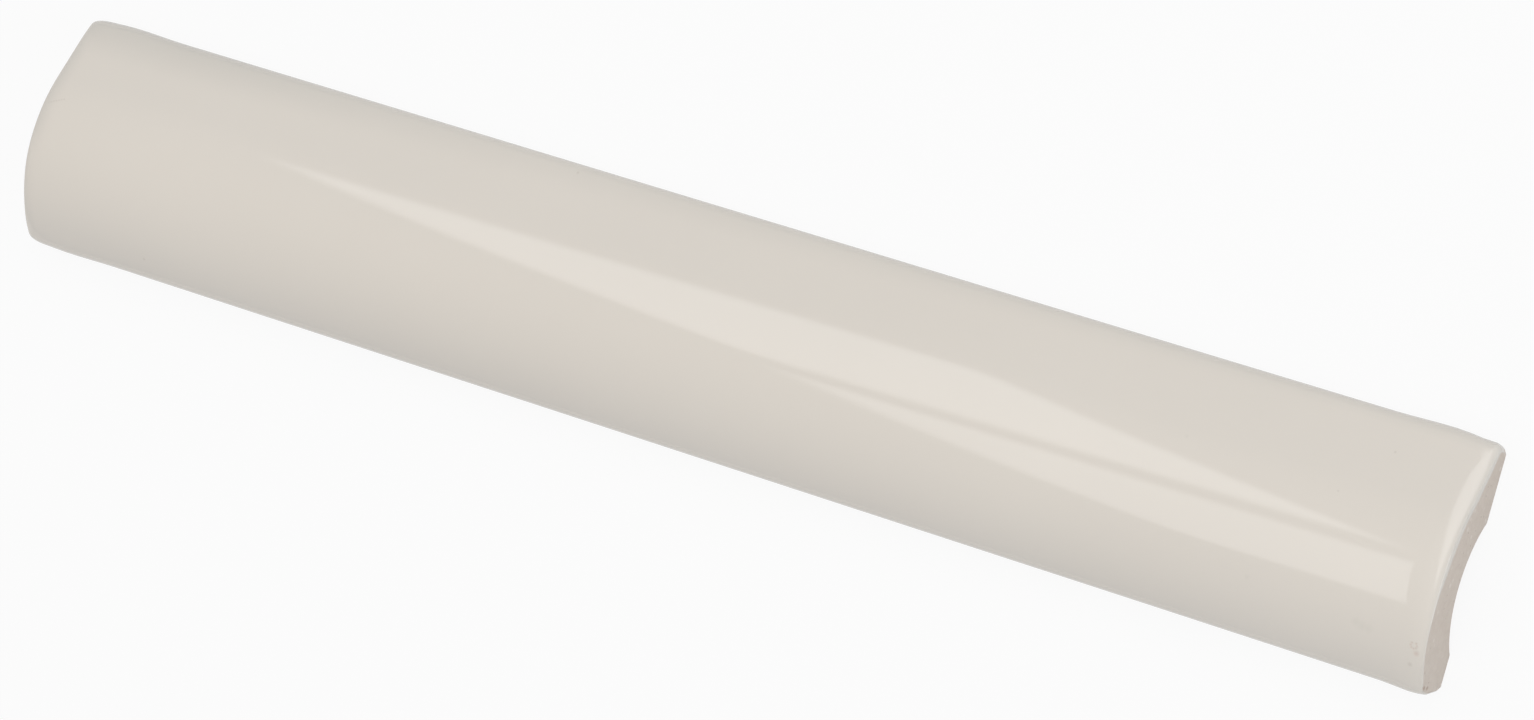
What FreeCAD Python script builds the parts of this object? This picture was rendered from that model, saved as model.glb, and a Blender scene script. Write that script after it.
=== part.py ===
"""Bullnose trim tile: one pressed, glazed and fired ceramic piece.

The section is an arched front with a thin tapered lip along one long edge and a thicker butt along the
other. Every stretch of it is tangent to the next, so the glazed skin runs over both edges without a crease.
At each end the skin rolls over and stops at a crisp edge round the flat end. The back is flat, with one
shallow adhesive groove that runs the full length under the crown.

Frame: origin on the back plane at the middle of the tile, X along the length, Y across the width towards
the lip, Z out of the glazed face. Millimetres and degrees.
"""

import FreeCAD
import Part
import math
import os

# Overall size
LENGTH = 200.0
WIDTH = 30.0
CROWN_HEIGHT = 9.6

# Front of the section, from the lip over the crown to the butt
CROWN_RADIUS = 18.2
CROWN_OFFSET = 2.3
LIP_ANGLE = 30.0
LIP_NOSE_RADIUS = 0.9
BUTT_NOSE_RADIUS = 2.2
DRAFT_ANGLE = 11.0

# Roll of the skin at each end: its reach along the tile, its depth into the section, its slope at the edge
END_ROLL_LENGTH = 2.6
END_ROLL_DEPTH = 0.5
END_ROLL_SLOPE = 60.0

# Groove in the back
GROOVE_WIDTH = 15.8
GROOVE_DEPTH = 3.4

# The blank is swept with round corners under the back plane, which are cut away to leave the flat back
BLANK_UNDERCUT = 4.0
BLANK_CORNER_RADIUS = 2.0

# Cutters run past the faces that they cut by this much
CUT_OVERRUN = 1.0

ALONG = FreeCAD.Vector(1, 0, 0)


def polar(centre, radius, angle):
    """Point of the section at an angle from +Y towards +Z round a centre."""
    turn = math.radians(angle)
    return centre + FreeCAD.Vector(0, radius * math.cos(turn), radius * math.sin(turn))


def arc(centre, radius, start, end):
    """Arc edge round a centre, from one angle to another."""
    return Part.Arc(*[polar(centre, radius, a) for a in (start, (start + end) / 2, end)]).toShape()


def blank_corner(wall_top, outward):
    """Centre of the round corner below a drafted wall. outward is the wall's side, +1 or -1 in Y."""
    draft = math.radians(DRAFT_ANGLE)
    height = BLANK_CORNER_RADIUS - BLANK_UNDERCUT
    wall_y = wall_top.y - outward * (wall_top.z - height) * math.tan(draft)
    return FreeCAD.Vector(0, wall_y - outward * BLANK_CORNER_RADIUS / math.cos(draft), height)


def blank_section():
    """Edges of the blank's section in order: the lip's wall, the crown, the butt's wall, the underside."""
    half_width = WIDTH / 2
    lip_slope = math.radians(LIP_ANGLE)
    lip_turn = 90 - LIP_ANGLE
    wall_turn = 180 + DRAFT_ANGLE

    crown = FreeCAD.Vector(0, -CROWN_OFFSET, CROWN_HEIGHT - CROWN_RADIUS)
    taper_top = polar(crown, CROWN_RADIUS, lip_turn)

    lip_y = half_width - LIP_NOSE_RADIUS
    taper_z = taper_top.z - (lip_y - taper_top.y) * math.tan(lip_slope)
    lip = FreeCAD.Vector(0, lip_y, taper_z - LIP_NOSE_RADIUS / math.cos(lip_slope))

    butt_y = BUTT_NOSE_RADIUS - half_width
    butt_reach = CROWN_RADIUS - BUTT_NOSE_RADIUS
    butt = FreeCAD.Vector(0, butt_y, crown.z + math.sqrt(butt_reach**2 - (butt_y - crown.y) ** 2))
    butt_turn = math.degrees(math.atan2(butt.z - crown.z, butt.y - crown.y))

    lip_wall = polar(lip, LIP_NOSE_RADIUS, -DRAFT_ANGLE)
    butt_wall = polar(butt, BUTT_NOSE_RADIUS, wall_turn)
    lip_corner = blank_corner(lip_wall, 1)
    butt_corner = blank_corner(butt_wall, -1)

    return [
        Part.makeLine(polar(lip_corner, BLANK_CORNER_RADIUS, -DRAFT_ANGLE), lip_wall),
        arc(lip, LIP_NOSE_RADIUS, -DRAFT_ANGLE, lip_turn),
        Part.makeLine(polar(lip, LIP_NOSE_RADIUS, lip_turn), taper_top),
        arc(crown, CROWN_RADIUS, lip_turn, butt_turn),
        arc(butt, BUTT_NOSE_RADIUS, butt_turn, wall_turn),
        Part.makeLine(butt_wall, polar(butt_corner, BLANK_CORNER_RADIUS, wall_turn)),
        arc(butt_corner, BLANK_CORNER_RADIUS, wall_turn, 270),
        Part.makeLine(
            polar(butt_corner, BLANK_CORNER_RADIUS, 270),
            polar(lip_corner, BLANK_CORNER_RADIUS, 270),
        ),
        arc(lip_corner, BLANK_CORNER_RADIUS, 270, 360 - DRAFT_ANGLE),
    ]


def roll(start, corner, end):
    """Elliptic curve from start to end, tangent there to the lines that meet at the corner."""
    curve = Part.BezierCurve()
    curve.setPoles([start, corner, end])
    curve.setWeight(2, math.sqrt(0.5))
    return curve.toShape()


def skin_line(point, inward):
    """Line of the skin along the tile through a point of the section, with a rolled end each way."""

    def place(x, depth):
        return point + ALONG * x + inward * depth

    end = LENGTH / 2
    bend = end - END_ROLL_LENGTH
    corner = end - END_ROLL_DEPTH / math.tan(math.radians(END_ROLL_SLOPE))
    first_roll = roll(place(-end, END_ROLL_DEPTH), place(-corner, 0), place(-bend, 0))
    run = Part.makeLine(place(-bend, 0), place(bend, 0))
    last_roll = roll(place(bend, 0), place(corner, 0), place(end, END_ROLL_DEPTH))
    return Part.Wire([first_roll, run, last_roll])


def skin(edge):
    """Skin faces over one edge of the section: the skin line turned about an arc or moved along a line."""
    start = edge.valueAt(edge.FirstParameter)
    end = edge.valueAt(edge.LastParameter)
    tangent = edge.tangentAt(edge.FirstParameter)
    line = skin_line(start, FreeCAD.Vector(0, -tangent.z, tangent.y))
    if isinstance(edge.Curve, Part.Circle):
        return line.revolve(edge.Curve.Center, ALONG, math.degrees(edge.Length / edge.Curve.Radius)).Faces
    return line.extrude(end - start).Faces


def end_face(skin_faces, side):
    """Flat end of the blank, inside the skin's last edges. side is +1 or -1 in X."""
    outline = []
    for face in skin_faces:
        for edge in face.Edges:
            if all(math.isclose(vertex.X, side * LENGTH / 2) for vertex in edge.Vertexes):
                outline.append(edge)
    return Part.Face(Part.Wire(Part.__sortEdges__(outline)))


def blank():
    """Solid blank: the skin round the whole section, closed by the two flat ends."""
    faces = []
    for edge in blank_section():
        faces.extend(skin(edge))
    hull = Part.makeCompound(faces + [end_face(faces, 1), end_face(faces, -1)])
    hull.sewShape()
    return Part.makeSolid(hull.Shells[0])


def below_back():
    """Cutter for all of the blank that lies under the back plane."""
    length = LENGTH + 2 * CUT_OVERRUN
    width = WIDTH + 2 * CUT_OVERRUN
    depth = BLANK_UNDERCUT + CUT_OVERRUN
    return Part.makeBox(length, width, depth, FreeCAD.Vector(-length / 2, -width / 2, -depth))


def groove():
    """Cutter for the round-bottomed adhesive groove, centred under the crown."""
    radius = (GROOVE_WIDTH**2 / 4 + GROOVE_DEPTH**2) / (2 * GROOVE_DEPTH)
    start = FreeCAD.Vector(-LENGTH / 2 - CUT_OVERRUN, -CROWN_OFFSET, GROOVE_DEPTH - radius)
    return Part.makeCylinder(radius, LENGTH + 2 * CUT_OVERRUN, start, ALONG)


os.makedirs("parts", exist_ok=True)
tile = blank().cut(below_back()).cut(groove()).removeSplitter()
print("valid", tile.isValid(), "solids", len(tile.Solids), "faces", len(tile.Faces))
print("volume cm3", tile.Volume / 1000, "box", tile.BoundBox)
tile.Solids[0].exportStep("parts/bullnose_tile.step")
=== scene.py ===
import bmesh
import bpy
import math
from mathutils import Matrix, Vector, noise


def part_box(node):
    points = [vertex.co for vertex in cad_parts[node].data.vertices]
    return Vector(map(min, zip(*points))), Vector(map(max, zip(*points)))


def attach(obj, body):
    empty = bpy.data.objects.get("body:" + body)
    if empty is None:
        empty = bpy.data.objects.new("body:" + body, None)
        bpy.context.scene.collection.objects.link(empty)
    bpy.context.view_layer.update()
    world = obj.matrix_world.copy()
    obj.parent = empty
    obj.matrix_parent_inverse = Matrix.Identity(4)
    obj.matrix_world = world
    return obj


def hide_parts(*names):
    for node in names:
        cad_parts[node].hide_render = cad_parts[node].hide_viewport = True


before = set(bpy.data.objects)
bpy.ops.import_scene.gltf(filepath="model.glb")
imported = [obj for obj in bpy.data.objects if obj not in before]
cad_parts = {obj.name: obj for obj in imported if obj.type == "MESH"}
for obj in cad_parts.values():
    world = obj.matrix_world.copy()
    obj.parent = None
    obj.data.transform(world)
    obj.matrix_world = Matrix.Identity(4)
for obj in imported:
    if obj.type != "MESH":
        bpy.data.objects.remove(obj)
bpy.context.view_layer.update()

# Tile body
# One strip of pale clay, dry pressed to an arched section with a thin lip along one long edge and a thick
# butt along the other, then glazed and fired. Its section is drawn edge by edge and carried along the tile.
mm = 0.001
hair = 0.001 * mm
along_tile = Vector((1, 0, 0))
corner_low, corner_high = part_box("bullnose_tile")
tile_length = corner_high[0] - corner_low[0]
tile_width = corner_high[1] - corner_low[1]
crown_height = corner_high[2] - corner_low[2]
tile_end = tile_length / 2
wall_from = 12 * mm
crown_radius = 18.2 * mm
crown_offset = 2.3 * mm
lip_angle = 30
lip_nose_radius = 1.7 * mm
butt_nose_radius = 2.2 * mm
draft_angle = 11
back_corner_radius = 0.4 * mm
groove_width = 15.8 * mm
groove_depth = 3.4 * mm
roll_length = 2.6 * mm
roll_depth = 0.5 * mm
roll_slope = 60
lip_glaze_height = 0.75 * mm
butt_glaze_height = 1.1 * mm
lip_nose_steps = 16
taper_steps = 10
crown_steps = 56
butt_nose_steps = 14
groove_steps = 28
rings_along_tile = 99
roll_rings = 10
back_corner_steps = 4
crease_angle = math.radians(40)

lip_turn = 90 - lip_angle
wall_turn = 180 + draft_angle
lip_slope = math.radians(lip_angle)
draft = math.radians(draft_angle)
roll_start = tile_end - roll_length
roll_lean = roll_depth / math.tan(math.radians(roll_slope))
square_end = roll_start + roll_depth


def on_circle(centre, radius, degrees):
    """Point of the section round a centre, at an angle that counts from the lip's side upwards."""
    turn = math.radians(degrees)
    return centre + Vector((0, radius * math.cos(turn), radius * math.sin(turn)))


def on_wall(wall_top, height, side):
    """Point of a side wall at a height over the back. The side is 1 at the lip and -1 at the butt."""
    inset = (wall_top.z - height) * math.tan(draft)
    return Vector((wall_top.x, wall_top.y - side * inset, height))


crown_centre = Vector((-square_end, -crown_offset, crown_height - crown_radius))
taper_top = on_circle(crown_centre, crown_radius, lip_turn)

lip_y = tile_width / 2 - lip_nose_radius
lip_top = taper_top.z - (lip_y - taper_top.y) * math.tan(lip_slope)
lip_centre = Vector((-square_end, lip_y, lip_top - lip_nose_radius / math.cos(lip_slope)))
lip_wall_top = on_circle(lip_centre, lip_nose_radius, -draft_angle)
taper_foot = on_circle(lip_centre, lip_nose_radius, lip_turn)
taper = [taper_foot.lerp(taper_top, step / taper_steps) for step in range(1, taper_steps + 1)]

butt_y = butt_nose_radius - tile_width / 2
butt_reach = crown_radius - butt_nose_radius
butt_rise = math.sqrt(butt_reach**2 - (butt_y - crown_centre.y) ** 2)
butt_centre = Vector((-square_end, butt_y, crown_centre.z + butt_rise))
butt_turn = math.degrees(math.atan2(butt_rise, butt_y - crown_centre.y))
butt_wall_top = on_circle(butt_centre, butt_nose_radius, wall_turn)

groove_radius = (groove_width**2 / 4 + groove_depth**2) / (2 * groove_depth)
groove_centre = Vector((-square_end, -crown_offset, groove_depth - groove_radius))
groove_turn = math.degrees(math.asin(groove_width / 2 / groove_radius))

lip_foot = on_wall(lip_wall_top, 0, 1)
runs_and_turns = [
    ("run", on_wall(lip_wall_top, lip_glaze_height, 1)),
    ("run", lip_wall_top),
    ("turn", lip_centre, lip_turn + draft_angle, lip_nose_steps),
    *[("run", place) for place in taper],
    ("turn", crown_centre, butt_turn - lip_turn, crown_steps),
    ("turn", butt_centre, wall_turn - butt_turn, butt_nose_steps),
    ("run", on_wall(butt_wall_top, butt_glaze_height, -1)),
    ("run", on_wall(butt_wall_top, 0, -1)),
    ("run", on_circle(groove_centre, groove_radius, 90 + groove_turn)),
    ("turn", groove_centre, -2 * groove_turn, groove_steps),
    ("run", lip_foot),
]

bpy.ops.object.select_all(action="DESELECT")
bpy.ops.mesh.primitive_plane_add(size=tile_width)
tile = bpy.context.object
tile.name = "glazed_tile"
bpy.ops.object.mode_set(mode="EDIT")
bpy.ops.mesh.merge(type="CENTER")
bpy.ops.transform.translate(value=lip_foot)
pen = lip_foot
for kind, *stroke in runs_and_turns:
    if kind == "run":
        place = stroke[0]
        bpy.ops.mesh.extrude_region_move(TRANSFORM_OT_translate={"value": place - pen})
        pen = place
    else:
        # The spin operator turns the other way round its axis.
        centre, degrees, steps = stroke
        turn = math.radians(degrees)
        bpy.ops.mesh.spin(steps=steps, angle=-turn, center=centre, axis=along_tile)
        pen = centre + Matrix.Rotation(turn, 3, along_tile) @ (pen - centre)
bpy.ops.mesh.select_all(action="SELECT")
bpy.ops.mesh.remove_doubles(threshold=hair)
bpy.ops.mesh.edge_face_add()
bpy.ops.mesh.extrude_region_move(TRANSFORM_OT_translate={"value": along_tile * 2 * square_end})
bpy.ops.mesh.select_all(action="SELECT")
bpy.ops.mesh.normals_make_consistent(inside=False)


def select_edges(piece, wanted):
    """Selects the edges of a piece in edit mode that pass a test, and no others."""
    bpy.ops.mesh.select_mode(type="EDGE")
    bpy.ops.mesh.select_all(action="DESELECT")
    for edge in bmesh.from_edit_mesh(piece.data).edges:
        edge.select_set(wanted(edge))
    bmesh.update_edit_mesh(piece.data)


def runs_along_tile(edge):
    """True on the long edges that lead from one end to the other."""
    return abs(edge.verts[0].co.x - edge.verts[1].co.x) > tile_width


def at_wall(place):
    """True at the side walls and their feet."""
    return abs(place.y) > wall_from


def is_under(place):
    """True on the flat back and in the groove."""
    in_groove = abs(place.y + crown_offset) < groove_width / 2 + hair and place.z < groove_depth + hair
    return place.z < hair or in_groove


def is_front_end(edge):
    """True on the edges between a square end and the skin of the front and the side walls."""
    at_end = all(abs(vertex.co.x) > square_end - hair for vertex in edge.verts)
    return at_end and not all(is_under(vertex.co) for vertex in edge.verts)


def is_foot(edge):
    """True on the edges along the tile between the side walls and the back."""
    at_foot = all(abs(vertex.co.z) < hair and at_wall(vertex.co) for vertex in edge.verts)
    along = abs(edge.verts[0].co.x - edge.verts[1].co.x) > hair
    return at_foot and along and edge.calc_face_angle() > crease_angle


def is_crease(edge):
    """True where the glaze meets bare clay, and on the sharp edges of the bare clay."""
    bare = [face.material_index for face in edge.link_faces]
    return any(bare) and (not all(bare) or edge.calc_face_angle() > crease_angle)


# The front edges of both ends are rounded off, and the round is drawn out along the tile to a shallow roll.
round_profile = 0.5
select_edges(tile, runs_along_tile)
bpy.ops.mesh.subdivide(number_cuts=rings_along_tile)
select_edges(tile, is_front_end)
bpy.ops.mesh.bevel(offset=roll_depth, segments=roll_rings, profile=round_profile, affect="EDGES")
drawn_out = ((roll_length - roll_lean) / roll_depth, 1, 1)
for side in (1, -1):
    bpy.ops.mesh.select_mode(type="VERT")
    bpy.ops.mesh.select_all(action="DESELECT")
    for vertex in bmesh.from_edit_mesh(tile.data).verts:
        vertex.select_set(side * vertex.co.x > roll_start + hair)
    bmesh.update_edit_mesh(tile.data)
    bpy.ops.transform.resize(value=drawn_out, center_override=along_tile * side * roll_start)
bpy.ops.object.mode_set(mode="OBJECT")

# Firing leaves small departures from the pressed shape. Near each end the lip and the butt flare out a
# little. At the near end the lip then draws in towards its corner, and the butt's wall swells over its foot.
nose_from, nose_to = 12 * mm, 14.8 * mm
lip_flare = 0.18 * mm
far_butt_flare = 0.12 * mm
flare_reach = 1.5 * mm, 6.5 * mm, 14 * mm
near_butt_flare = 0.17 * mm
near_foot_swell = 0.25 * mm
near_flare_from, near_flare_to = 6 * mm, 2 * mm
corner_draw_in = 0.2 * mm
corner_reach = 5 * mm

# The roll is deeper at the lip. It is shallower over the near end's upper butt and the far end's crown. The
# upper butt draws back a little at both ends, and at the near corner of the lip the roll is tighter. The
# skin between the rolls has slow waves.
lip_roll_gain = 0.2 * mm
butt_roll_loss = 0.3 * mm
butt_draw_back = 0.25 * mm
butt_from, butt_to = 3 * mm, 12 * mm
foot_from, foot_to = 1 * mm, 5 * mm
far_roll_loss = 0.12 * mm
corner_tightness = 0.6
corner_from, corner_to = 10.5 * mm, 14.5 * mm
skin_wave = 40 * mm
skin_wave_rise = 0.012 * mm

# On the lip's half the glaze ran over the arris of each end and down its face. On each side wall it stops
# in an uneven line. It is thin at these edges and on the far roll. A band along the lip, which narrows and
# fades towards the near end, is painted shade that darkens the glaze there.
glaze_ring = roll_rings - 1
glaze_run = 0.75 * mm
glaze_run_least = 0.05 * mm
glaze_run_wave = 3 * mm
glaze_run_unevenness = 0.3
run_from, run_to = -5 * mm, 1 * mm
glaze_line_wave = 9 * mm
glaze_line_rise = 0.3 * mm
thin_edge = 0.45
thin_edge_width = 0.8 * mm
thin_far = 0.7
thin_far_width = 2.6 * mm
lip_shade_width = 1.5 * mm
lip_shade_growth = 4 * mm
lip_shade_least = 0.45
lip_shade_from, lip_shade_to = -90 * mm, -30 * mm

# A small chip is broken out of the near end where its arris comes down to the butt.
chip_low, chip_low_fade = 2.9 * mm, 1 * mm
chip_high, chip_high_fade = 5.3 * mm, 0.6 * mm
chip_inward = Vector((-0.25, 0.15, 0)) * mm
chip_evenness = 0.7
chip_roughness = 0.5
chip_grit = 0.5 * mm


def ease(value, start, end):
    """0 at the start, 1 at the end and smooth between."""
    share = min(max((value - start) / (end - start), 0), 1)
    return share * share * (3 - 2 * share)


def flare(place):
    """Share of its full flare by which an edge stands out at a place along the tile."""
    from_end = tile_end - abs(place.x)
    foot, peak, foot_beyond = flare_reach
    return ease(from_end, foot, peak) * (1 - ease(from_end, peak, foot_beyond))


def lip_shift(place):
    """How far out the lip lies after firing at a place along the tile."""
    return lip_flare * flare(place) - corner_draw_in * ease(place.x, tile_end - corner_reach, tile_end)


def butt_shift(place, swell):
    """How far out the butt lies after firing at a place along the tile, with the swell of its near foot."""
    if place.x < 0:
        return far_butt_flare * flare(place)
    return (near_butt_flare + swell) * ease(place.x, tile_end - near_flare_from, tile_end - near_flare_to)


def run_down(place):
    """How far the glaze ran down the end face from the arris at a place of the section."""
    share = ease(place.y, run_from, run_to) * (1 - ease(place.y, nose_from, nose_to))
    uneven = 1 + glaze_run_unevenness * noise.noise(place / glaze_run_wave)
    return glaze_run_least + glaze_run * share * uneven


def roll_ring(place):
    """Number of the roll's ring that a place is on, 0 before the roll."""
    reach = (abs(place.x) - roll_start) / (roll_length - roll_lean)
    return round(math.degrees(math.asin(min(max(reach, 0), 1))) * roll_rings / 90)


def fire_roll(place, ring, outward, to_lip, to_butt):
    """Moves a place on the roll of an end to where it lies after firing."""
    near = place.x > 0
    pressed_turn = math.radians(90 * ring / roll_rings)
    turn = math.radians(90 * min(ring / glaze_ring, 1))
    upper_butt = ease(-place.y, butt_from, butt_to) * ease(place.z, foot_from, foot_to)
    full_depth = roll_depth + lip_roll_gain * to_lip
    full_depth -= butt_roll_loss * upper_butt if near else far_roll_loss * (1 - to_butt)
    depth = full_depth * (1 - math.cos(turn))
    if ring > glaze_ring:
        depth += run_down(place)
    place += outward * (roll_depth * (1 - math.cos(pressed_turn)) - depth)
    leaned = (roll_length - roll_lean) * math.sin(turn) + roll_lean * (1 - math.cos(turn))
    reach = roll_start + leaned * (1 - butt_draw_back / roll_length * upper_butt)
    if near:
        reach += (tile_end - reach) * corner_tightness * ease(place.y, corner_from, corner_to)
    place.x = math.copysign(reach, place.x)


def pressed_line(place):
    """Height over the back of the edge loop on a side wall at which the glaze stops."""
    return lip_glaze_height if place.y > 0 else butt_glaze_height


def glaze_line(place):
    """Height over the back at which the glaze stops on a side wall after firing."""
    along_line = Vector((place.x / glaze_line_wave, math.copysign(1, place.y), 0))
    return pressed_line(place) + glaze_line_rise * noise.noise(along_line)


def thinness_and_lip_shade(place, to_lip, to_butt):
    """How thin the glaze is at a place after firing, with the painted shade of the band along the lip, from
    0 for full thickness and no shade to 1.
    """
    from_end = tile_end - abs(place.x)
    arris_thin = thin_edge * (1 - ease(from_end, 0, thin_edge_width))
    far_thin = 0
    if place.x < 0:
        far_thin = thin_far * (1 - ease(from_end, 0, thin_far_width)) * ease(place.y, run_from, run_to)
    over_line = place.z - glaze_line(place)
    wall_thin = thin_edge * (1 - ease(over_line, 0, thin_edge_width)) * max(to_lip, to_butt)
    # The band along the lip is painted shade. It darkens the glaze towards the lip's edge and is widest at
    # the far end.
    lip_shade_band_width = lip_shade_width + lip_shade_growth * (tile_end - place.x) / tile_length
    fullest_lip_shade = 1 - (1 - lip_shade_least) * ease(place.x, lip_shade_from, lip_shade_to)
    lip_painted_shade = fullest_lip_shade * (1 - ease(tile_width / 2 - place.y, 0, lip_shade_band_width))
    return max(arris_thin, far_thin, wall_thin, lip_painted_shade)


def chipped(place):
    """How far the chip takes a place of the near end's arris inwards."""
    share = ease(place.z, chip_low, chip_low + chip_low_fade)
    share *= 1 - ease(place.z, chip_high - chip_high_fade, chip_high)
    return chip_inward * share * (chip_evenness + chip_roughness * noise.noise(place / chip_grit))


normals = [Vector(vertex.normal) for vertex in tile.data.vertices]
ring_of = []
thin_glaze_and_shade = []
for vertex, normal in zip(tile.data.vertices, normals):
    place = vertex.co
    ring = roll_ring(place)
    ring_of.append(ring)
    thin_glaze_and_shade.append(0)
    if is_under(place) and not at_wall(place):
        if ring:
            place.x = math.copysign(tile_end, place.x)
        continue
    outward = Vector((0, normal.y, normal.z)).normalized()
    if place.z < hair:
        outward = Vector((0, math.copysign(1, place.y), 0))
    swell = 0
    if at_wall(place) and abs(place.z - pressed_line(place)) < glaze_line_rise / 2:
        rise = glaze_line(place) - place.z
        place += Vector((0, math.copysign(math.tan(draft), place.y), 1)) * rise
        swell = near_foot_swell
    to_lip = ease(place.y, nose_from, nose_to)
    to_butt = ease(-place.y, nose_from, nose_to)
    place.y += lip_shift(place) * to_lip - butt_shift(place, swell) * to_butt
    if ring:
        fire_roll(place, ring, outward, to_lip, to_butt)
    elif place.z > hair:
        place += outward * skin_wave_rise * noise.noise(place / skin_wave)
    thin_glaze_and_shade[-1] = thinness_and_lip_shade(place, to_lip, to_butt)
    if place.x > 0 and to_butt and ring >= glaze_ring:
        place += chipped(place)
# The attribute carries the thin glaze and the painted shade along the lip.
tile.data.attributes.new("thin_glaze_and_shade", "FLOAT", "POINT").data.foreach_set("value", thin_glaze_and_shade)

bare_foot_share = 0.75
back_facing = -0.5


def is_bare(face):
    """True on the faces that no glaze reached: the ends, the back, the groove and the feet of the walls."""
    at_end = all(ring_of[index] > glaze_ring for index in face.vertices)
    at_foot = at_wall(face.center) and face.center.z < pressed_line(face.center) * bare_foot_share
    return at_end or at_foot or face.normal.z < back_facing


for face in tile.data.polygons:
    face.material_index = int(is_bare(face))

# Handling has worn the long corners of the back round.
bpy.ops.object.mode_set(mode="EDIT")
select_edges(tile, is_foot)
bpy.ops.mesh.bevel(
    offset=back_corner_radius, segments=back_corner_steps, profile=round_profile, affect="EDGES"
)
bpy.ops.mesh.select_all(action="SELECT")
bpy.ops.mesh.remove_doubles(threshold=hair)
select_edges(tile, is_crease)
bpy.ops.mesh.mark_sharp()
bpy.ops.object.mode_set(mode="OBJECT")
bpy.ops.object.shade_smooth()


def linear(code):
    """Linear colour with full alpha of an sRGB hex code."""
    shares = [int(code[place : place + 2], 16) / 255 for place in (1, 3, 5)]
    return [c / 12.92 if c <= 0.04045 else ((c + 0.055) / 1.055) ** 2.4 for c in shares] + [1]


def add_node(owner, kind, sockets, **settings):
    """Adds a node with its settings, and sets each socket's value or links it to another node's output."""
    node = owner.node_tree.nodes.new(kind)
    for name, value in settings.items():
        setattr(node, name, value)
    for name, value in sockets.items():
        if isinstance(value, bpy.types.NodeSocket):
            owner.node_tree.links.new(value, node.inputs[name])
        else:
            node.inputs[name].default_value = value
    return node


def spots(owner, place, marks):
    """Mask that is 1 at the middle of each mark and 0 from its radius on. Marks are in mm on the tile."""
    mask = 0.0
    for middle, radius in marks:
        sockets = {0: place, 1: Vector(middle) * mm}
        away = add_node(owner, "ShaderNodeVectorMath", sockets, operation="DISTANCE")
        sockets = {"Value": away.outputs["Value"], "From Max": radius * mm, "To Min": 1, "To Max": 0}
        spot = add_node(owner, "ShaderNodeMapRange", sockets, interpolation_type="SMOOTHSTEP")
        joined = add_node(owner, "ShaderNodeMath", {0: mask, 1: spot.outputs["Result"]}, operation="MAXIMUM")
        mask = joined.outputs["Value"]
    return mask


# The colour sockets of a Mix node share their names with its other sockets, so they go by number.
colour_a, colour_b = 6, 7
mixed_colour = 2


def laid_over(owner, ground, layers):
    """Colour of a ground with layers over it. A layer is a mask, the share that it covers and a hex code."""
    for mask, cover, code in layers:
        share = add_node(owner, "ShaderNodeMath", {0: mask, 1: cover}, operation="MULTIPLY").outputs["Value"]
        sockets = {"Factor": share, colour_a: ground, colour_b: linear(code)}
        ground = add_node(owner, "ShaderNodeMix", sockets, data_type="RGBA").outputs[mixed_colour]
    return ground


# The glaze is an opaque ivory one, sprayed on and fired until it flowed. It is a smooth glassy skin that
# mirrors the lamps. It has a faint cloudiness and turns greyer where it is thin, and painted shade darkens
# it in a band along the lip. Marks on it are a burst bubble and a pinhole at the near end, a few specks and
# faint stains, two nicks on the long edges and a scratch at the far end. Each mark has its middle and its
# radius in mm.
cloud_size = 30 * mm
peel_size = 2.5 * mm
peel_rise = 0.0002 * mm
pinhole_depth = 0.02 * mm
burst_bubble = Vector((98.35, -9.5, 8.1))
bubble_radius = 0.38
bubble_slope = 0.43
rim_from, rim_to, rim_step = 135, 405, 45
rim_mark_radius = 0.26
pinholes = [((98.75, -10.35, 7.7), 0.55)]
for degrees in range(rim_from, rim_to + rim_step, rim_step):
    turn = math.radians(degrees)
    rim = Vector((math.cos(turn), math.sin(turn), math.sin(turn) * bubble_slope)) * bubble_radius
    pinholes.append((burst_bubble + rim, rim_mark_radius))
specks = [
    ((-80.5, -12.5, 6.5), 0.3),
    ((-24.6, 14.0, 3.0), 0.3),
    ((84.6, 4.8, 8.2), 0.2),
    ((88.8, 10.7, 4.9), 0.25),
    ((98.1, -11.8, 6.9), 0.45),
]
stains = [
    ((64.7, 5.6, 7.8), 0.4),
    ((76.9, -7.8, 8.75), 0.5),
    ((91.0, -8.9, 8.35), 0.9),
    ((91.8, -9.1, 8.25), 1),
    ((92.6, -9.2, 8.2), 0.9),
]
nicks = [((-45.4, -14.7, 4.8), 0.35), ((75.3, 15.0, 2.3), 0.35)]
scratch_start, scratch_end = Vector((-99.1, 3.3, 8.7)), Vector((-97.1, 4.2, 8.4))
scratch_mark_radius = 0.2
scratch_steps = 6
scratch = []
for step in range(scratch_steps + 1):
    scratch.append((scratch_start.lerp(scratch_end, step / scratch_steps), scratch_mark_radius))
glaze = bpy.data.materials.new("fired_ivory_glaze")
glaze.use_nodes = True
glaze.node_tree.nodes.clear()
place = add_node(glaze, "ShaderNodeTexCoord", {}).outputs["Object"]
cloud = add_node(glaze, "ShaderNodeTexNoise", {"Vector": place, "Scale": 1 / cloud_size, "Detail": 3})
thin_and_shade = add_node(glaze, "ShaderNodeAttribute", {}, attribute_name="thin_glaze_and_shade")
pinhole = spots(glaze, place, pinholes)
ivory = laid_over(
    glaze,
    linear("#D7D0C6"),
    [
        (cloud.outputs["Fac"], 1, "#DBD4CA"),
        # This layer is thin glaze at the edges and painted shade in the band along the lip.
        (thin_and_shade.outputs["Fac"], 0.45, "#BEBBB4"),
        (pinhole, 0.5, "#C6B1A4"),
        (spots(glaze, place, stains), 0.06, "#8F9484"),
        (spots(glaze, place, specks + nicks + scratch), 0.25, "#A79B8E"),
    ],
)
peel = add_node(glaze, "ShaderNodeTexNoise", {"Vector": place, "Scale": 1 / peel_size, "Detail": 1})
skin = add_node(glaze, "ShaderNodeBump", {"Height": peel.outputs["Fac"], "Distance": peel_rise})
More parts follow.
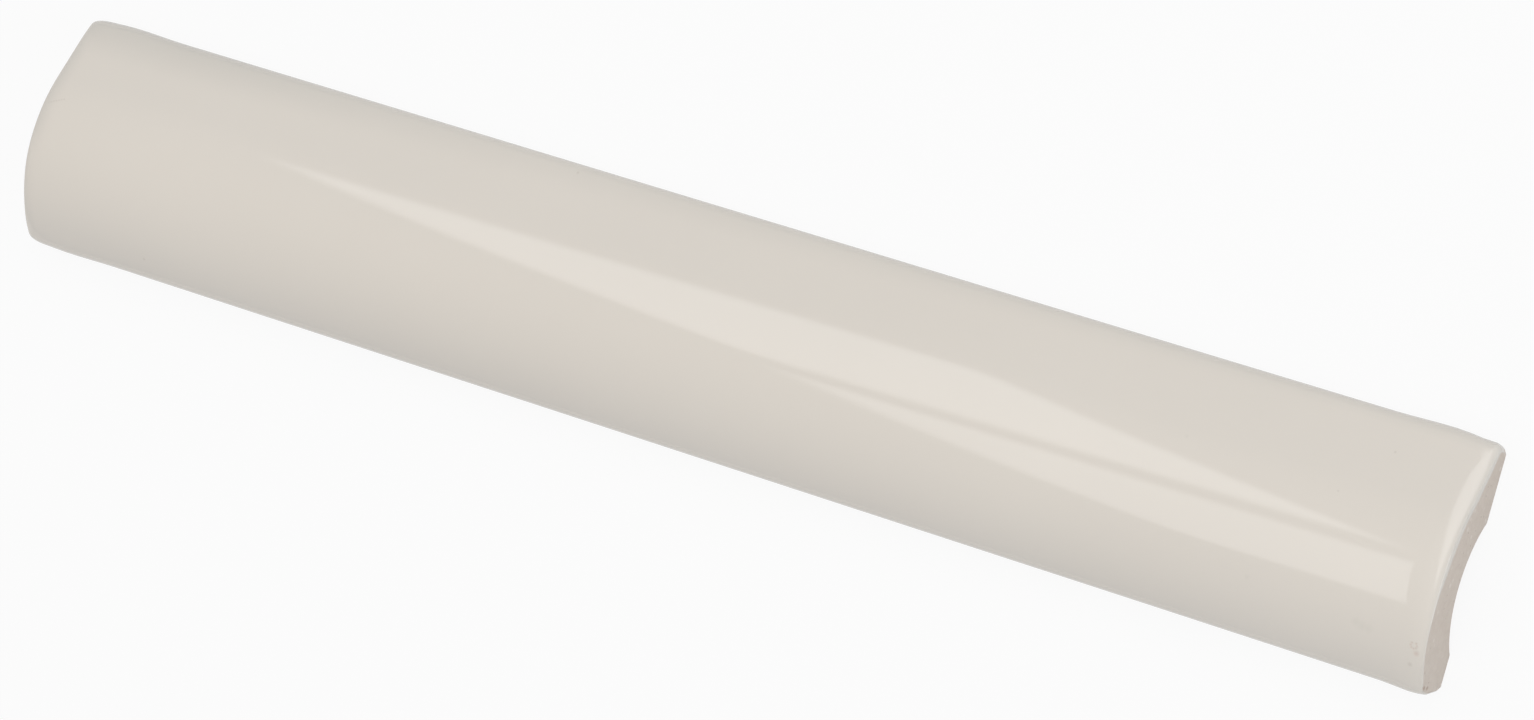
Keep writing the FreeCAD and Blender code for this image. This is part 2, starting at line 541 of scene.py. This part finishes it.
dents = add_node(
    glaze,
    "ShaderNodeBump",
    {"Height": pinhole, "Distance": pinhole_depth, "Normal": skin.outputs["Normal"]},
    invert=True,
)
glass = add_node(
    glaze,
    "ShaderNodeBsdfPrincipled",
    {"Base Color": ivory, "Roughness": 0.012, "IOR": 1.5, "Normal": dents.outputs["Normal"]},
)
add_node(glaze, "ShaderNodeOutputMaterial", {"Surface": glass.outputs["BSDF"]})

# The bare clay is pressed from powder and fired unglazed: matt, pinkish beige, with a fine grain, slow
# mottling, pale crumbs of ground clay, pores darkened with painted shade in their pits, and brown inside the
# small chip at the near end.
# A crumb or a pore is round a point of its cell, and its core and rim are shares of the cells' spacing.
grain_size = 0.7 * mm
grain_rise = 0.05 * mm
mottle_size = 9 * mm
crumb_spacing = 1.8 * mm
crumb_core, crumb_rim = 0.12, 0.2
pore_spacing = 1.1 * mm
pore_core, pore_rim = 0.06, 0.14
pore_depth = 0.032 * mm
chip = [((100.0, -14.1, 4.9), 0.5), ((99.8, -14.2, 4.3), 0.5), ((99.9, -14.2, 3.6), 0.45)]
bisque = bpy.data.materials.new("bare_pressed_bisque")
bisque.use_nodes = True
bisque.node_tree.nodes.clear()
place = add_node(bisque, "ShaderNodeTexCoord", {}).outputs["Object"]
grain = add_node(bisque, "ShaderNodeTexNoise", {"Vector": place, "Scale": 1 / grain_size, "Detail": 5})
mottle = add_node(bisque, "ShaderNodeTexNoise", {"Vector": place, "Scale": 1 / mottle_size, "Detail": 2})
bits = []
for spacing, core, rim in ((crumb_spacing, crumb_core, crumb_rim), (pore_spacing, pore_core, pore_rim)):
    cells = add_node(bisque, "ShaderNodeTexVoronoi", {"Vector": place, "Scale": 1 / spacing})
    from_middle = cells.outputs["Distance"]
    sockets = {"Value": from_middle, "From Min": core, "From Max": rim, "To Min": 1, "To Max": 0}
    bits.append(add_node(bisque, "ShaderNodeMapRange", sockets).outputs["Result"])
crumbs, shaded_pores = bits
fired_clay = laid_over(
    bisque,
    linear("#C7BAAE"),
    [
        (grain.outputs["Fac"], 1, "#D7CDC1"),
        (mottle.outputs["Fac"], 0.3, "#D0BDAC"),
        (crumbs, 0.5, "#E0D7CD"),
        # The pores' darker colour is painted shade in their pits.
        (shaded_pores, 0.4, "#9C8D80"),
        (spots(bisque, place, chip), 1, "#8F6F57"),
    ],
)
rough = add_node(bisque, "ShaderNodeBump", {"Height": grain.outputs["Fac"], "Distance": grain_rise})
pitted = add_node(
    bisque,
    "ShaderNodeBump",
    {"Height": shaded_pores, "Distance": pore_depth, "Normal": rough.outputs["Normal"]},
    invert=True,
)
clay = add_node(
    bisque,
    "ShaderNodeBsdfPrincipled",
    {"Base Color": fired_clay, "Roughness": 0.9, "IOR": 1.45, "Normal": pitted.outputs["Normal"]},
)
add_node(bisque, "ShaderNodeOutputMaterial", {"Surface": clay.outputs["BSDF"]})

tile.data.materials.append(glaze)
tile.data.materials.append(bisque)
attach(tile, "root")
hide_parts("bullnose_tile")

# Floor
# A wide sheet of pale matt paper under the tile. The camera and mirrored rays see most of it as plain white,
# and the small share that takes the lamps' light keeps the tile's soft shadow.
floor_size = 6
floor_gap = 0.1 * mm
shadow_share = 0.08
bpy.ops.object.select_all(action="DESELECT")
bpy.ops.mesh.primitive_plane_add(size=floor_size, location=(0, 0, -floor_gap))
floor = bpy.context.object
floor.name = "floor"
paper = bpy.data.materials.new("pale_matt_paper")
paper.use_nodes = True
paper.node_tree.nodes.clear()
lit = add_node(paper, "ShaderNodeBsdfDiffuse", {"Color": linear("#CCCCCC")})
plain = add_node(paper, "ShaderNodeEmission", {"Color": linear("#FFFFFF"), "Strength": 1})
path = add_node(paper, "ShaderNodeLightPath", {})
seen = path.outputs["Is Camera Ray"]
for kind in ("Is Glossy Ray", "Is Transmission Ray"):
    either = add_node(paper, "ShaderNodeMath", {0: seen, 1: path.outputs[kind]}, operation="MAXIMUM")
    seen = either.outputs["Value"]
share = add_node(paper, "ShaderNodeMath", {0: seen, 1: 1 - shadow_share}, operation="MULTIPLY")
sheet = add_node(
    paper,
    "ShaderNodeMixShader",
    {0: share.outputs["Value"], 1: lit.outputs["BSDF"], 2: plain.outputs["Emission"]},
)
add_node(paper, "ShaderNodeOutputMaterial", {"Surface": sheet.outputs["Shader"]})
floor.data.materials.append(paper)

# Studio light
# A cloth tent, cool and dimmer at the horizon and warm white overhead, with three level softboxes over the
# tile. The crown mirrors two of them as long wedges, and the rolled near end mirrors the third. A low panel
# on the right fills the near end face.
world = bpy.data.worlds.new("studio_tent")
bpy.context.scene.world = world
world.use_nodes = True
world.node_tree.nodes.clear()
direction = add_node(world, "ShaderNodeTexCoord", {}).outputs["Generated"]
height = add_node(world, "ShaderNodeSeparateXYZ", {"Vector": direction}).outputs["Z"]
cloth = add_node(
    world,
    "ShaderNodeMix",
    {"Factor": height, colour_a: linear("#B3BECC"), colour_b: linear("#ECE8E3")},
    data_type="RGBA",
)
tent = add_node(world, "ShaderNodeBackground", {"Color": cloth.outputs[mixed_colour], "Strength": 1})
add_node(world, "ShaderNodeOutputWorld", {"Surface": tent.outputs["Background"]})

# Each softbox has a radiance and the sides of its bright window: the way that a side faces in plan in
# degrees, its distance from the tile's middle and the width over which it fades, in mm. The softboxes hang
# a little over one another, because a mirrored ray sees only one of two lamps in the same plane.
softbox_height = 699 * mm
softbox_step = 1 * mm
softboxes = [
    ("far_softbox", 1.75, [(127, 854, 165), (209, 257, 30), (301, -247, 71), (24.5, -69, 23)]),
    (
        "middle_softbox",
        1.52,
        [(112, 133, 60), (195, 311, 29), (283, 254, 55), (356, -138.4, 2.5), (360, -146.3, 2.5)],
    ),
    ("near_softbox", 1.7, [(90, 1050, 120), (198, -150, 100), (270, 95, 60), (346, 221, 100)]),
]


def in_plan(degrees):
    """Direction in plan at an angle from the tile's length."""
    return Vector((math.cos(math.radians(degrees)), math.sin(math.radians(degrees))))


for step, (name, radiance, sides) in enumerate(softboxes):
    corners = []
    for (turn, distance, _), (next_turn, next_distance, _) in zip(sides, sides[1:] + sides[:1]):
        across = Matrix((in_plan(turn), in_plan(next_turn)))
        corners.append(across.inverted() @ Vector((distance, next_distance)))
    low = Vector([min(corner[axis] for corner in corners) for axis in (0, 1)])
    high = Vector([max(corner[axis] for corner in corners) for axis in (0, 1)])
    widest_fade = max(fade for _, _, fade in sides)
    lamp = bpy.data.lights.new(name, "AREA")
    lamp.shape = "RECTANGLE"
    lamp.size = (high.x - low.x + widest_fade) * mm
    lamp.size_y = (high.y - low.y + widest_fade) * mm
    lamp.energy = math.pi * lamp.size * lamp.size_y * radiance
    lamp.use_nodes = True
    lamp.node_tree.nodes.clear()
    spot = add_node(lamp, "ShaderNodeNewGeometry", {}).outputs["Position"]
    window = 1.0
    for turn, distance, fade in sides:
        outward = in_plan(turn).to_3d()
        along = add_node(lamp, "ShaderNodeVectorMath", {0: spot, 1: outward}, operation="DOT_PRODUCT")
        sockets = {
            "Value": along.outputs["Value"],
            "From Min": (distance - fade / 2) * mm,
            "From Max": (distance + fade / 2) * mm,
            "To Min": 1,
            "To Max": 0,
        }
        inside = add_node(lamp, "ShaderNodeMapRange", sockets, interpolation_type="SMOOTHSTEP")
        sockets = {0: window, 1: inside.outputs["Result"]}
        window = add_node(lamp, "ShaderNodeMath", sockets, operation="MULTIPLY").outputs["Value"]
    glow = add_node(lamp, "ShaderNodeEmission", {"Strength": window})
    add_node(lamp, "ShaderNodeOutputLight", {"Surface": glow.outputs["Emission"]})
    softbox = bpy.data.objects.new(name, lamp)
    middle = (low + high) / 2 * mm
    softbox.location = (middle.x, middle.y, softbox_height + step * softbox_step)
    softbox.visible_camera = False
    bpy.context.collection.objects.link(softbox)


def facing(place, target):
    """Placement at a place that looks at a target and stands level."""
    level = (target - place).to_track_quat("-Z", "Y").to_matrix().to_4x4()
    return Matrix.Translation(place) @ level


fill_place = Vector((620, -60, 170)) * mm
fill_size = 400 * mm
fill_radiance = 1.95
fill = bpy.data.lights.new("low_fill", "AREA")
fill.size = fill_size
fill.color = linear("#F0F7FF")[:3]
fill.energy = math.pi * fill_size**2 * fill_radiance
fill_panel = bpy.data.objects.new("low_fill", fill)
fill_panel.matrix_world = facing(fill_place, along_tile * tile_end)
fill_panel.visible_camera = False
bpy.context.collection.objects.link(fill_panel)

# Camera
# A long lens that looks down on the tile from over its near end, leaning towards the lip's side. It is
# rolled until the tile lies across the picture.
camera_place = Vector((312.7, 57.5, 617.4)) * mm
camera_target = Vector((5.8, -1.4, 0)) * mm
camera_roll = math.radians(-84.63)
camera_data = bpy.data.cameras.new("camera")
camera_data.sensor_fit = "HORIZONTAL"
camera_data.sensor_width = 36
camera_data.lens = 133.3
camera = bpy.data.objects.new("camera", camera_data)
camera.matrix_world = facing(camera_place, camera_target) @ Matrix.Rotation(camera_roll, 4, "Z")
bpy.context.collection.objects.link(camera)
bpy.context.scene.camera = camera
bpy.context.scene.view_settings.view_transform = "Standard"
